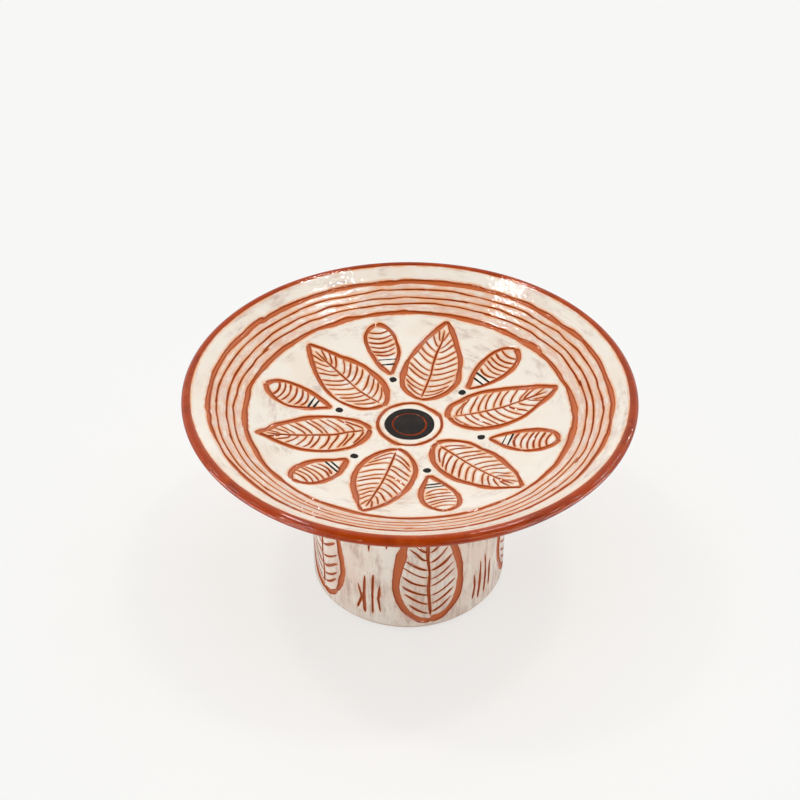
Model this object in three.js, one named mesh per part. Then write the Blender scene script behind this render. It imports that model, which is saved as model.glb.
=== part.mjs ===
// A footed bowl in red earthenware: a wide, shallow thrown dish stands on a hollow thrown drum, open below.
// A clay coil is worked into the corner inside the join. The dish's inside and the drum's outside each
// carry a coat of white slip, which stops short at the rim and at the foot, so that red clay shows there.
// Millimetres, +Z up. The origin is the middle of the foot, on the surface that the bowl stands on.

import * as THREE from 'three';

// Driving dimensions of the whole bowl
const DISH_DIAMETER = 260;
const OVERALL_HEIGHT = 138;

// The dish: a flat floor, a wall that rises in one arc, and a round lip of bare clay
const DISH_DEPTH = 29;
const FLOOR_RADIUS = 30;
const LIP_THICKNESS = 6.2;
const CLAY_BAND_WIDTH = 5;
const FLOOR_THICKNESS = 8;
const SEAT_RADIUS = 61;

// The drum under it, and the coil in the corner inside the join
const DRUM_DIAMETER = 118;
const DRUM_WALL = 7;
const FOOT_BEVEL = 1.5;
const INNER_BEVEL = 1;
const COIL_LEG = 7;
const COIL_EDGE = 0.6;

// The slip coats
const SLIP_THICKNESS = 0.5;
const BARE_FOOT_BAND = 2.5;

// Facets
const SEGMENTS_ROUND = 72;
const ARC_STEPS = { wall: 12, lipInside: 2, lipTop: 4, lipUnder: 3, underside: 10, coil: 5 };

// Fired surfaces: colour, and how much the clear glaze polishes each
const FINISHES = {
  glazedClay: { color: 0xa84a22, roughness: 0.22, metalness: 0 },
  bareClay: { color: 0xb2603c, roughness: 0.85, metalness: 0 },
  glazedSlip: { color: 0xefe4d6, roughness: 0.2, metalness: 0 },
};

// Heights and radii that follow from the driving dimensions
const rimRadius = DISH_DIAMETER / 2;
const floorHeight = OVERALL_HEIGHT - DISH_DEPTH;
const seatHeight = floorHeight - FLOOR_THICKNESS;
const slipEdgeRadius = rimRadius - CLAY_BAND_WIDTH;
const drumRadius = DRUM_DIAMETER / 2;
const drumClayRadius = drumRadius - SLIP_THICKNESS;
const drumBoreRadius = drumRadius - DRUM_WALL;

// The lip is a round nose, centred here in the section (x is the radius, y is the height).
const lipRadius = LIP_THICKNESS / 2;
const lipCentre = new THREE.Vector2(rimRadius - lipRadius, OVERALL_HEIGHT - lipRadius);

/** Points of an arc in the section, both ends included. Angles are in radians from outwards, turning up. */
function arcPoints(centre, radius, startAngle, endAngle, steps) {
  return Array.from({ length: steps + 1 }, (_, i) => {
    const angle = THREE.MathUtils.lerp(startAngle, endAngle, i / steps);
    return new THREE.Vector2(
      centre.x + radius * Math.cos(angle),
      centre.y + radius * Math.sin(angle),
    );
  });
}

/** Where the slip ends on the lip: the point of the round nose at the slip's edge radius. */
function slipEdgeOnLip() {
  const inwards = lipCentre.x - slipEdgeRadius;
  return new THREE.Vector2(slipEdgeRadius, lipCentre.y + Math.sqrt(lipRadius ** 2 - inwards ** 2));
}

/**
 * The arc of the dish's inner wall: it leaves the flat floor level and ends at the slip's edge.
 * With that run and rise, its radius is (run squared + rise squared) / (2 rise).
 */
function innerWallArc() {
  const edge = slipEdgeOnLip();
  const run = edge.x - FLOOR_RADIUS;
  const rise = edge.y - floorHeight;
  const radius = (run ** 2 + rise ** 2) / (2 * rise);
  const centre = new THREE.Vector2(FLOOR_RADIUS, floorHeight + radius);
  return { centre, radius, endAngle: Math.asin(run / radius) - Math.PI / 2 };
}

/** The inner surface from the axis to the slip's edge, sunk below the slip's face by a depth. */
function innerSurface(depth) {
  const { centre, radius, endAngle } = innerWallArc();
  const onAxis = new THREE.Vector2(0, floorHeight - depth);
  return [onAxis, ...arcPoints(centre, radius + depth, -Math.PI / 2, endAngle, ARC_STEPS.wall)];
}

/**
 * The lip: over the top from the slip's edge, round to its widest, and under to where the underside
 * leaves it along the wall's slope. It is one arc in three runs, so that the top and the widest point
 * are points of it.
 */
function lipNose() {
  const edge = slipEdgeOnLip();
  const edgeAngle = Math.atan2(edge.y - lipCentre.y, edge.x - lipCentre.x);
  const inside = arcPoints(lipCentre, lipRadius, edgeAngle, Math.PI / 2, ARC_STEPS.lipInside);
  const top = arcPoints(lipCentre, lipRadius, Math.PI / 2, 0, ARC_STEPS.lipTop);
  const under = arcPoints(lipCentre, lipRadius, 0, innerWallArc().endAngle, ARC_STEPS.lipUnder);
  return [...inside, ...top.slice(1), ...under.slice(1)];
}

/**
 * The underside from the lip to the seat's edge: the arc that leaves the lip's nose smoothly.
 * Its centre lies along the normal there, and its radius makes it pass through the seat's edge.
 */
function undersideArc() {
  const start = lipNose().at(-1);
  const end = new THREE.Vector2(SEAT_RADIUS, seatHeight);
  const inwardNormal = lipCentre.clone().sub(start).normalize();
  const chord = end.clone().sub(start);
  const radius = chord.lengthSq() / (2 * chord.dot(inwardNormal));
  const centre = start.clone().addScaledVector(inwardNormal, radius);
  const angleOf = (point) => Math.atan2(point.y - centre.y, point.x - centre.x);
  return arcPoints(centre, radius, angleOf(start), angleOf(end), ARC_STEPS.underside);
}

/** The clay of the dish: seat, underside, lip, and the inner face that lies under the slip. */
function dishSection() {
  const seatMiddle = new THREE.Vector2(0, seatHeight);
  const underside = undersideArc().reverse();
  const lip = lipNose().reverse();
  const innerFace = innerSurface(SLIP_THICKNESS).reverse();
  return [seatMiddle, ...underside, ...lip.slice(1), ...innerFace];
}

/** The slip inside the dish: a skin of even thickness that ends flush with the lip. */
function dishSlipSection() {
  return [...innerSurface(SLIP_THICKNESS), ...innerSurface(0).reverse()];
}

/** A section closes on itself by ending at its first point. */
function closed(points) {
  return [...points, points[0].clone()];
}

/** The drum's wall, bevelled at the foot so that its edge does not chip. */
function drumSection() {
  return closed([
    new THREE.Vector2(drumBoreRadius + INNER_BEVEL, 0),
    new THREE.Vector2(drumClayRadius - FOOT_BEVEL, 0),
    new THREE.Vector2(drumClayRadius, FOOT_BEVEL),
    new THREE.Vector2(drumClayRadius, BARE_FOOT_BAND),
    new THREE.Vector2(drumClayRadius, seatHeight),
    new THREE.Vector2(drumBoreRadius, seatHeight),
    new THREE.Vector2(drumBoreRadius, seatHeight - COIL_LEG),
    new THREE.Vector2(drumBoreRadius, INNER_BEVEL),
  ]);
}

/** The slip round the drum, from just above the foot up to the dish. */
function drumSlipSection() {
  return closed([
    new THREE.Vector2(drumClayRadius, BARE_FOOT_BAND),
    new THREE.Vector2(drumRadius, BARE_FOOT_BAND + SLIP_THICKNESS),
    new THREE.Vector2(drumRadius, seatHeight),
    new THREE.Vector2(drumClayRadius, seatHeight),
  ]);
}

/** The coil: it fills the corner between the drum's bore and the dish's seat, smoothed to a hollow curve. */
function coilSection() {
  const hollowCentre = new THREE.Vector2(drumBoreRadius - COIL_LEG, seatHeight - COIL_LEG);
  const hollow = arcPoints(hollowCentre, COIL_LEG - COIL_EDGE, 0, Math.PI / 2, ARC_STEPS.coil);
  return closed([
    new THREE.Vector2(drumBoreRadius, seatHeight),
    new THREE.Vector2(drumBoreRadius - COIL_LEG, seatHeight),
    ...hollow.reverse(),
    new THREE.Vector2(drumBoreRadius, seatHeight - COIL_LEG),
  ]);
}

/** One thrown or brushed-on piece: a section turned about the upright axis. */
function turnedPiece(name, section, finish) {
  const geometry = new THREE.LatheGeometry(section, SEGMENTS_ROUND);
  geometry.rotateX(Math.PI / 2);
  const piece = new THREE.Mesh(geometry, new THREE.MeshStandardMaterial(finish));
  piece.name = name;
  return piece;
}

const bowl = new THREE.Group();
bowl.add(
  turnedPiece('dish', dishSection(), FINISHES.glazedClay),
  turnedPiece('dish_slip', dishSlipSection(), FINISHES.glazedSlip),
  turnedPiece('foot_drum', drumSection(), FINISHES.bareClay),
  turnedPiece('foot_slip', drumSlipSection(), FINISHES.glazedSlip),
  turnedPiece('luting_coil', coilSection(), FINISHES.bareClay),
);

export default bowl;
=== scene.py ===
"""A footed bowl in red earthenware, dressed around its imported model.

A wide thrown dish stands on a thrown drum. White slip lies inside the dish and round the drum. It is
carved through to the red clay, touched with black pigment, and covered in clear glaze.
Shapes are worked out in millimetres and become metres when a mesh is made.
"""

import logging
import math
from abc import ABC, abstractmethod
from dataclasses import dataclass, field
from enum import Enum
from itertools import chain

import bpy
import numpy as np
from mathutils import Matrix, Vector
from mathutils.geometry import delaunay_2d_cdt


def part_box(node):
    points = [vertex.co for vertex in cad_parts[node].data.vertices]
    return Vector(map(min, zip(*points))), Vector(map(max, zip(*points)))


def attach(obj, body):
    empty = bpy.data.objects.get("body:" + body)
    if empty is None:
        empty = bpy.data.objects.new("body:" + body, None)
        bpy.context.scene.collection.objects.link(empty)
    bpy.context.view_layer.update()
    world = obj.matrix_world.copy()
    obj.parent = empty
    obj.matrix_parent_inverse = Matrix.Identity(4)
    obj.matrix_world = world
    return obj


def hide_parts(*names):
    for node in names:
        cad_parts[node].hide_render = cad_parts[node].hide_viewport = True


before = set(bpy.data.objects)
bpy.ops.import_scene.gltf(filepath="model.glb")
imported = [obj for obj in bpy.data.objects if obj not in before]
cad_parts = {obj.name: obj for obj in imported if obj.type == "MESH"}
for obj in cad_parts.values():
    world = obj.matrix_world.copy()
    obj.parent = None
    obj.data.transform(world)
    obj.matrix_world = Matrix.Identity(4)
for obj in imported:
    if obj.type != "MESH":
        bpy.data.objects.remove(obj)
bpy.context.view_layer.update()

log = logging.getLogger("bowl")

Array = np.ndarray
Tree = bpy.types.NodeTree
Node = bpy.types.Node
Socket = bpy.types.NodeSocket
Material = bpy.types.Material
Pair = tuple[float, float]
Triple = tuple[float, float, float]

MM = 0.001
BODY = "root"

# Facets round the bowl, and the spacing of points along a cut, in millimetres
TURNS = 640
CUT_STEP = 1.2
SHARP_EDGE = math.radians(42)

# Angle of the point of the drum that faces the front, -Y
FRONT = -math.pi / 2

# Side of a tile of the plan in which distances to cuts are measured together, in millimetres
TILE = 9.0

# Settings of nodes that multiply, and of nodes that pass softly from one value to another
MULTIPLY = {"operation": "MULTIPLY"}
SMOOTH = {"interpolation_type": "SMOOTHSTEP"}


def node_top(node: str) -> float:
    """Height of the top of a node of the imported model, in millimetres."""
    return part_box(node)[1].z / MM


def node_bottom(node: str) -> float:
    """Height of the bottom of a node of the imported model, in millimetres."""
    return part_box(node)[0].z / MM


def node_radius(node: str) -> float:
    """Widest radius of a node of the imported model, in millimetres."""
    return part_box(node)[1].x / MM


def ripple(angle: Array, seed: int, lowest: int, highest: int) -> Array:
    """Smooth noise round a circle, within -1 to 1.

    It is the mean of cosines of whole numbers of waves from lowest to highest, each at its own phase.

    Args:
        angle: Angles round the circle, in radians.
        seed: Chooses the phases.
        lowest: Fewest waves round the circle.
        highest: Most waves round the circle.

    Returns:
        One value per angle.
    """
    waves = np.arange(lowest, highest + 1)
    phases = np.random.default_rng(seed).uniform(0, 2 * math.pi, len(waves))
    return np.cos(angle[..., None] * waves + phases).mean(axis=-1)


def evenly_spaced(path: Array, step: float) -> Array:
    """The same path with its points a step apart.

    Args:
        path: Points along a path, one per row.
        step: Spacing wanted, which is rounded so that it divides the length.

    Returns:
        Points at even distances along the path, both ends included.
    """
    lengths = np.hypot(*np.diff(path, axis=0).T)
    along = np.concatenate([[0.0], np.cumsum(lengths)])
    count = max(int(round(along[-1] / step)), 3)
    places = np.linspace(0, along[-1], count + 1)
    return np.column_stack([np.interp(places, along, path[:, axis]) for axis in (0, 1)])


def side_of(line: Array) -> Array:
    """Unit vectors to the left of a line at each of its points.

    Args:
        line: The line's points.

    Returns:
        Unit vectors, one to a point.
    """
    ahead = np.gradient(line, axis=0)
    ahead /= np.maximum(np.hypot(ahead[:, 0], ahead[:, 1]), 1e-9)[:, None]
    return np.column_stack([-ahead[:, 1], ahead[:, 0]])


def on_circle(radius: Array | float, angle: Array) -> Array:
    """Plan points at a radius and angle round the middle."""
    return np.column_stack([radius * np.cos(angle), radius * np.sin(angle)])


def spot(radius: float, heading: float) -> Array:
    """One plan point, at a radius and heading."""
    return on_circle(radius, np.array([heading]))[0]


def polar(plan: Array) -> tuple[Array, Array]:
    """Distances of plan points from the middle, and their angles round it."""
    return np.hypot(plan[:, 0], plan[:, 1]), np.arctan2(plan[:, 1], plan[:, 0])


def swept(profile: Array, angle: Array) -> tuple[Array, Array, Array]:
    """Radius, height and angle of each point of a profile at each angle, one ring after another."""
    radius, height = (np.repeat(values, len(angle)) for values in profile.T)
    return radius, height, np.tile(angle, len(profile))


def turned(radius: Array | float, angle: Array, height: Array) -> Array:
    """Points in space at a radius, angle and height."""
    return np.column_stack([on_circle(radius, angle), height])


def facet_angles() -> Array:
    """Angles of the facets round the bowl."""
    return np.arange(TURNS) * 2 * math.pi / TURNS


def ring_numbers(first: int, count: int) -> list[Array]:
    """Numbers of the points of so many rings that follow one another, from a first number."""
    return [first + row * TURNS + np.arange(TURNS) for row in range(count)]


@dataclass(frozen=True)
class Stroke:
    """One pull of a tool. Lengths are in millimetres.

    Attributes:
        line: Points of its middle line in the plan.
        half_width: Half of its width at each of them.
        bed_part: Part of the half width at which the points of its bed lie.
        wide: Half width above which it has such points.
    """

    line: Array
    half_width: Array
    bed_part: float = 0.55
    wide: float = 0.7

    def outline(self) -> Array:
        """The stroke's outline, anticlockwise: along its right side and back along its left."""
        offset = side_of(self.line) * self.half_width[:, None]
        return np.concatenate([self.line - offset, (self.line + offset)[::-1]])

    def flanks(self, gap: float) -> Array:
        """Points beside the stroke, a gap outside each of its edges."""
        offset = side_of(self.line) * (self.half_width + gap)[:, None]
        return np.concatenate([self.line - offset, self.line + offset])

    def bed(self) -> Array:
        """Points within the stroke: its middle, and about halfway out on each side where it is wide.

        Returns:
            The points, in millimetres.
        """
        offset = side_of(self.line) * (self.half_width * self.bed_part)[:, None]
        wide = self.half_width > self.wide
        return np.concatenate([self.line[1:-1], (self.line - offset)[wide], (self.line + offset)[wide]])


@dataclass
class Hand:
    """The carver's hand: it follows a line with small slips of the wrist.

    Attributes:
        rng: Source of the slips, seeded so that each run draws the same.
        kink: Typical sideways slip at the end of each short push of the tool, in millimetres.
        push: Length of a push of the tool, in millimetres.
        swell: Part of the width by which a cut swells and thins.
        rag: Part of the width by which its edges are ragged.
        jump: Distance between the small jumps of the tool that make them so, in millimetres.
        lap: How far the pulls of a ring run on past each end, in millimetres.
    """

    rng: np.random.Generator
    kink: float = 0.42
    push: float = 10.0
    swell: float = 0.24
    rag: float = 0.06
    jump: float = 2.4
    lap: float = 2.5

    def slips(self, along: Array, size: float) -> Array:
        """Noise along a line: a new value at each push of the tool, joined by straight runs.

        Args:
            along: Distances along the line.
            size: Typical size of a slip.

        Returns:
            A value at each distance.
        """
        knots = np.arange(-self.push, along[-1] + 2 * self.push, self.push)
        knots = knots + self.rng.uniform(-0.3, 0.3, len(knots)) * self.push
        return np.interp(along, knots, self.rng.normal(0, size, len(knots)))

    def chatter(self, along: Array) -> Array:
        """Small jumps of the tool along a line, which leave the edges of a cut ragged."""
        knots = np.arange(0, along[-1] + 5, self.jump)
        return np.interp(along, knots, self.rng.normal(0, self.rag, len(knots)))

    def pull(self, path: Array, width: float, ends: Pair = (0.5, 0.5)) -> Stroke:
        """One stroke along a path.

        Args:
            path: Points of the line meant, in millimetres in the plan.
            width: Width of the cut in its middle, in millimetres.
            ends: Length over which each end runs out, as a multiple of the width.

        Returns:
            The stroke as the hand draws it.
        """
        line = evenly_spaced(path, CUT_STEP)
        along = np.linspace(0, CUT_STEP * (len(line) - 1), len(line))
        line = line + side_of(line) * self.slips(along, self.kink)[:, None]
        half = width / 2 * (1 + self.slips(along, self.swell) + self.chatter(along))
        first, last = (max(length, 0.3) * width for length in ends)
        fade = np.minimum(along / first, (along[-1] - along) / last)
        half = half * np.sqrt(np.clip(fade, 0.02, 1))
        return Stroke(line, np.maximum(half, 0.08))

    def ring(self, radius: float, width: float, pulls: int, drift: float) -> list[Stroke]:
        """A ring cut in several pulls, each of which begins a little beside the end of the last.

        Args:
            radius: Mean radius, in millimetres.
            width: Width of the cut, in millimetres.
            pulls: Number of pulls round the ring.
            drift: Typical error of the radius at the ends of a pull, in millimetres.

        Returns:
            The strokes round the ring.
        """
        turn = 2 * math.pi / pulls
        starts = self.rng.uniform(0, turn) + turn * np.arange(pulls)
        starts = starts + self.rng.uniform(-0.15, 0.15, pulls) * turn
        lap = self.lap / radius
        strokes = []
        for start, end in zip(starts, np.append(starts[1:], starts[0] + 2 * math.pi)):
            part = np.linspace(0, 1, 60)
            radii = radius + np.interp(part, [0, 0.5, 1], self.rng.normal(0, drift, 3))
            angles = start - lap + (end - start + 2 * lap) * part
            strokes.append(self.pull(on_circle(radii, angles), width, (1.6, 1.6)))
        return strokes


def pointed_side(length: float, half_width: float, side: int, fullness: float = 0.62) -> Array:
    """One side of a pointed leaf whose base is at the origin and whose tip lies along +X.

    Its distance from the axis is the part of the way along to the power of fullness, times the part that
    is left, scaled so that it is half_width at the widest place.

    Args:
        length: Length from base to tip, in millimetres.
        half_width: Half of the leaf's width, in millimetres.
        side: 1 for the left side and -1 for the right.
        fullness: Lower values make a rounder base.

    Returns:
        Points from the base to the tip.
    """
    part = np.linspace(0, 1, 80)
    widest = fullness / (1 + fullness)
    peak = widest ** fullness * (1 - widest)
    away = half_width * part ** fullness * (1 - part) / peak
    return np.column_stack([part * length, side * away])


def moved(points: Array, origin: Array, heading: float) -> Array:
    """Points turned by a heading in radians, then moved by an origin."""
    c, s = math.cos(heading), math.sin(heading)
    return points @ np.array([[c, s], [-s, c]]) + origin


@dataclass
class Leaf:
    """A pointed leaf with a midrib and slanting veins, carved in outline.

    Attributes:
        origin: Base of the leaf in the plan.
        heading: Direction from base to tip, in radians.
        length: Length from base to tip, in millimetres.
        half_width: Half of its width, in millimetres.
        outline: Width of the outline's cut, in millimetres.
        vein: Width of a vein's cut, in millimetres.
        veins: Number of veins on each side.
        slant: How far a vein runs forward on its way out, in millimetres.
        fullness: Lower values make a rounder base.
        rooted: Parts of the way along the midrib between which veins leave it.
        off_rib: Distance from the midrib at which a vein begins, in millimetres.
        shortest: Reach below which a vein is left out, in millimetres.
    """

    origin: Array
    heading: float
    length: float
    half_width: float
    outline: float = 2.6
    vein: float = 0.68
    veins: int = 11
    slant: float = 8.0
    fullness: float = 0.62
    rooted: Pair = (0.07, 0.78)
    off_rib: float = 0.9
    shortest: float = 2.2

    def strokes(self, hand: Hand) -> list[Stroke]:
        """The two sides, the midrib and the veins.

        Args:
            hand: The carver's hand.

        Returns:
            The strokes.
        """
        sides = (pointed_side(self.length, self.half_width, side, self.fullness) for side in (1, -1))
        lines = [hand.pull(self.laid(side), self.outline) for side in sides]
        rib = np.array([[0.05 * self.length, 0.0], [0.5 * self.length, 0.4], [0.9 * self.length, 0.0]])
        lines.append(hand.pull(self.laid(rib), self.vein * 1.25, (2, 5)))
        for side in (1, -1):
            lines.extend(self.vein_strokes(hand, side))
        return lines

    def vein_strokes(self, hand: Hand, side: int) -> list[Stroke]:
        """Veins on one side: each leaves the midrib, bends forward and stops short of the outline.

        Args:
            hand: The carver's hand.
            side: 1 for the left side of the midrib, -1 for the right.

        Returns:
            The strokes.
        """
        margin = pointed_side(self.length, self.half_width, 1, self.fullness)
        roots = np.linspace(*self.rooted, self.veins) + hand.rng.uniform(-0.012, 0.012, self.veins)
        part = np.linspace(0, 1, 20)
        lines = []
        for root in roots:
            tip = root * self.length + self.slant * 0.8
            reach = np.interp(tip, margin[:, 0], margin[:, 1]) - self.outline * 0.9
            if reach > self.shortest:
                forward = root * self.length + self.slant * part ** 1.5
                away = self.off_rib + (reach - self.off_rib) * part
                path = np.column_stack([forward, side * away])
                lines.append(hand.pull(self.laid(path), self.vein, (2, 3)))
        return lines

    def laid(self, points: Array) -> Array:
        """Points of the leaf's own plan in their place."""
        return moved(points, self.origin, self.heading)


@dataclass
class DishDesign:
    """The dish's ornament: rings below the rim, and a rosette of leaves round a black boss.

    Radii and widths are in millimetres.
    """

    seed: int = 5
    broad_rings: tuple[Pair, ...] = ((115.0, 2.1), (94.8, 2.6))
    fine_rings: tuple[float, ...] = (110.3, 105.4, 101.2)
    leaves: int = 6
    leaf_base: float = 23.5
    leaf_tip: float = 90.0
    leaf_half_width: float = 16.5
    boss_radius: float = 14.5
    boss_line: float = 9.8
    collar_radius: float = 18.8
    collar_line: float = 1.9
    seed_place: float = 43.0
    seed_radius: float = 2.3
    pod_point: float = 48.0
    pod_size: Pair = (40.0, 9.5)
    pod_line: float = 2.4
    hatching: tuple[float, ...] = (15.0, 18.6, 22.2, 25.8, 29.4, 33.0)
    boss_ring: float = 0.85
    hatch_line: float = 0.85
    hatch_bow: float = 1.8
    fine_line: float = 0.62
    bar_places: tuple[Pair, ...] = ((56.8, 5.2), (60.2, 6.6))
    bar_width: float = 1.3
    turn: float = math.radians(13)

    def strokes(self) -> list[Stroke]:
        """Every cut in the dish's slip.

        Returns:
            The strokes.
        """
        hand = Hand(np.random.default_rng(self.seed))
        lines = self.rings(hand)
        lines += hand.ring(self.collar_radius, self.collar_line, 3, 0.3)
        lines += Hand(hand.rng, kink=0.08).ring(self.boss_line, self.boss_ring, 2, 0.1)
        for number in range(self.leaves):
            heading = self.turn + number * 2 * math.pi / self.leaves
            lines += self.leaf(hand, heading)
            lines += self.pod(hand, heading + math.pi / self.leaves)
        return lines

    def rings(self, hand: Hand) -> list[Stroke]:
        """The concentric rings: one broad ring on each side of three fine ones.

        Args:
            hand: The carver's hand.

        Returns:
            The strokes.
        """
        hand = Hand(hand.rng, kink=0.3)
        lines = []
        for radius, width in self.broad_rings:
            lines += hand.ring(radius, width, 7, 0.22)
        for radius in self.fine_rings:
            lines += hand.ring(radius, self.fine_line, 8, 0.35)
        return lines

    def leaf(self, hand: Hand, heading: float) -> list[Stroke]:
        """One leaf of the rosette, a little off true.

        Args:
            hand: The carver's hand.
            heading: Angle of its direction from the middle, in radians.

        Returns:
            The strokes.
        """
        heading = heading + hand.rng.normal(0, 0.02)
        base = spot(self.leaf_base, heading)
        length = self.leaf_tip - self.leaf_base + hand.rng.uniform(-1.5, 1.0)
        wide = self.leaf_half_width * hand.rng.uniform(0.94, 1.05)
        return Leaf(base, heading + hand.rng.normal(0, 0.025), length, wide).strokes(hand)

    def pod(self, hand: Hand, heading: float) -> list[Stroke]:
        """A small pod between two leaves, its point to the middle, hatched across.

        Args:
            hand: The carver's hand.
            heading: Angle of its direction from the middle, in radians.

        Returns:
            The strokes.
        """
        tip = spot(self.pod_point, heading)
        length, wide = self.pod_size
        path = moved(pointed_side(length, wide, 1), np.array([length, 0.0]), math.pi) * np.array([1, -1])
        sides = [moved(path * np.array([1, side]), tip, heading) for side in (1, -1)]
        lines = [hand.pull(side, self.pod_line) for side in sides]
        across = np.linspace(-1, 1, 12)
        for place in self.hatching:
            reach = np.interp(length - place, *pointed_side(length, wide, 1).T) - 1.6
            bow = np.column_stack([place + self.hatch_bow * across ** 2, across * reach])
            lines.append(hand.pull(moved(bow, tip, heading), self.hatch_line, (2, 2)))
        return lines

    def patches(self) -> list[Array]:
        """Outlines of the black pigment: the boss, seeds between the leaves, and bars across the pods.

        Returns:
            The outlines, anticlockwise.
        """
        angle = np.linspace(0, 2 * math.pi, 120, endpoint=False)
        outlines = [on_circle(self.boss_radius + 0.25 * ripple(angle, 3, 2, 7), angle)]
        angle = np.linspace(0, 2 * math.pi, 24, endpoint=False)
        for number in range(self.leaves):
            heading = self.turn + (number + 0.5) * 2 * math.pi / self.leaves
            middle = spot(self.seed_place, heading)
            uneven = 1 + 0.08 * ripple(angle, number, 2, 4)
            outlines.append(middle + on_circle(self.seed_radius * uneven, angle))
            outlines += self.bars(heading, number)
        return outlines

    def bars(self, heading: float, seed: int) -> list[Array]:
        """Two thin brushed bars across the narrow end of a pod.

        Args:
            heading: Angle of its direction from the middle, in radians.
            seed: Chooses the slips of the brush.

        Returns:
            The bars' outlines.
        """
        hand = Hand(np.random.default_rng(100 + seed), kink=0.12)
        outlines = []
        for out, reach in self.bar_places:
            across = np.linspace(-reach, reach, 8)
            path = np.column_stack([out + hand.rng.normal(0, 0.3) + 0.08 * across, across])
            stroke = hand.pull(moved(path, np.zeros(2), heading), self.bar_width, (1, 1))
            outlines.append(stroke.outline())
        return outlines


@dataclass
class DrumDesign:
    """The drum's ornament: tall pointed leaves, with scored panels between them.

    Attributes:
        radius: Radius of the drum's face, in millimetres.
        height: Height of the drum, in millimetres.
        seed: Chooses the slips of the hand.
        leaves: Number of leaves round the drum; the gap between two of them lies at the back.
        leaf_half_width: Half of a leaf's width, in millimetres.
        scratches: Place of each low scratch from the middle of its panel, and its two ends' heights.
        scratch: Width of a scratch, in millimetres.
        tall: Number of scratches that hang from the dish in a panel.
    """

    radius: float
    height: float
    seed: int = 8
    leaves: int = 5
    leaf_half_width: float = 19.5
    scratches: tuple[Triple, ...] = ((-7.5, 10, 30), (-2.6, 8, 38), (2.6, 9, 41), (7.4, 12, 33))
    scratch: float = 1.3
    tall: int = 9

    def strokes(self) -> list[Stroke]:
        """Every cut in the drum's slip, with the distance round from the front as X and the height as Y.

        Returns:
            The strokes.
        """
        hand = Hand(np.random.default_rng(self.seed), kink=0.4, push=12)
        pitch = 2 * math.pi * self.radius / self.leaves
        lines = []
        for number in range(self.leaves):
            middle = (number - self.leaves // 2) * pitch
            lines += self.leaf(hand, middle)
            if number < self.leaves - 1:
                lines += self.panel(hand, middle + pitch / 2, pitch)
        return lines

    def leaf(self, hand: Hand, middle: float) -> list[Stroke]:
        """A tall leaf that stands on the foot.

        Args:
            hand: The carver's hand.
            middle: Distance of its middle round from the front.

        Returns:
            The strokes.
        """
        base = np.array([middle + hand.rng.normal(0, 0.8), 6.0])
        tall = self.height * hand.rng.uniform(0.86, 0.9)
        wide = self.leaf_half_width * hand.rng.uniform(0.95, 1.05)
        heading = math.pi / 2 + hand.rng.normal(0, 0.02)
        return Leaf(base, heading, tall, wide, 4.4, 1.3, 10, 9.0, 0.5).strokes(hand)

    def panel(self, hand: Hand, middle: float, pitch: float) -> list[Stroke]:
        """Between two leaves: short upright scratches by the foot and by the dish.

        Args:
            hand: The carver's hand.
            middle: Distance of its middle round from the front.
            pitch: Distance between two leaves.

        Returns:
            The strokes.
        """
        lines = []
        for place, low, high in self.scratches:
            lean = hand.rng.normal(0, 0.8)
            bend = [middle + place * 0.8 + lean, (low + high) / 2]
            path = np.array([[middle + place, low], bend, [middle + place * 0.9, high]])
            lines.append(hand.pull(path, self.scratch * hand.rng.uniform(0.8, 1.2), (2, 4)))
        for place in np.linspace(-0.36, 0.36, self.tall) * pitch:
            low = self.height - 44 + 55 * abs(place) / pitch + hand.rng.uniform(-4, 4)
            path = np.array([[middle + place * 0.8, low], [middle + place, self.height - 2.5]])
            lines.append(hand.pull(path, 1.25, (4, 1)))
        return lines


class Form(ABC):
    """A thrown wall laid out flat, in millimetres. Lifts are measured off the slip's face."""

    @abstractmethod
    def place(self, plan: Array, lift: Array) -> Array:
        """Points in space, in millimetres, of plan points at a lift."""

    @abstractmethod
    def margin(self, plan: Array) -> Array:
        """Distance of plan points inside the edge of the slip coat, less than 0 outside it."""

    @abstractmethod
    def coat_outline(self) -> Array:
        """Outline of the slip coat in the plan, anticlockwise."""

    @abstractmethod
    def border(self) -> Array:
        """Outline of the whole sheet in the plan, anticlockwise."""

    @abstractmethod
    def spread(self, spacing: float) -> Array:
        """Plan points that cover the sheet, a spacing apart."""


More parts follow.
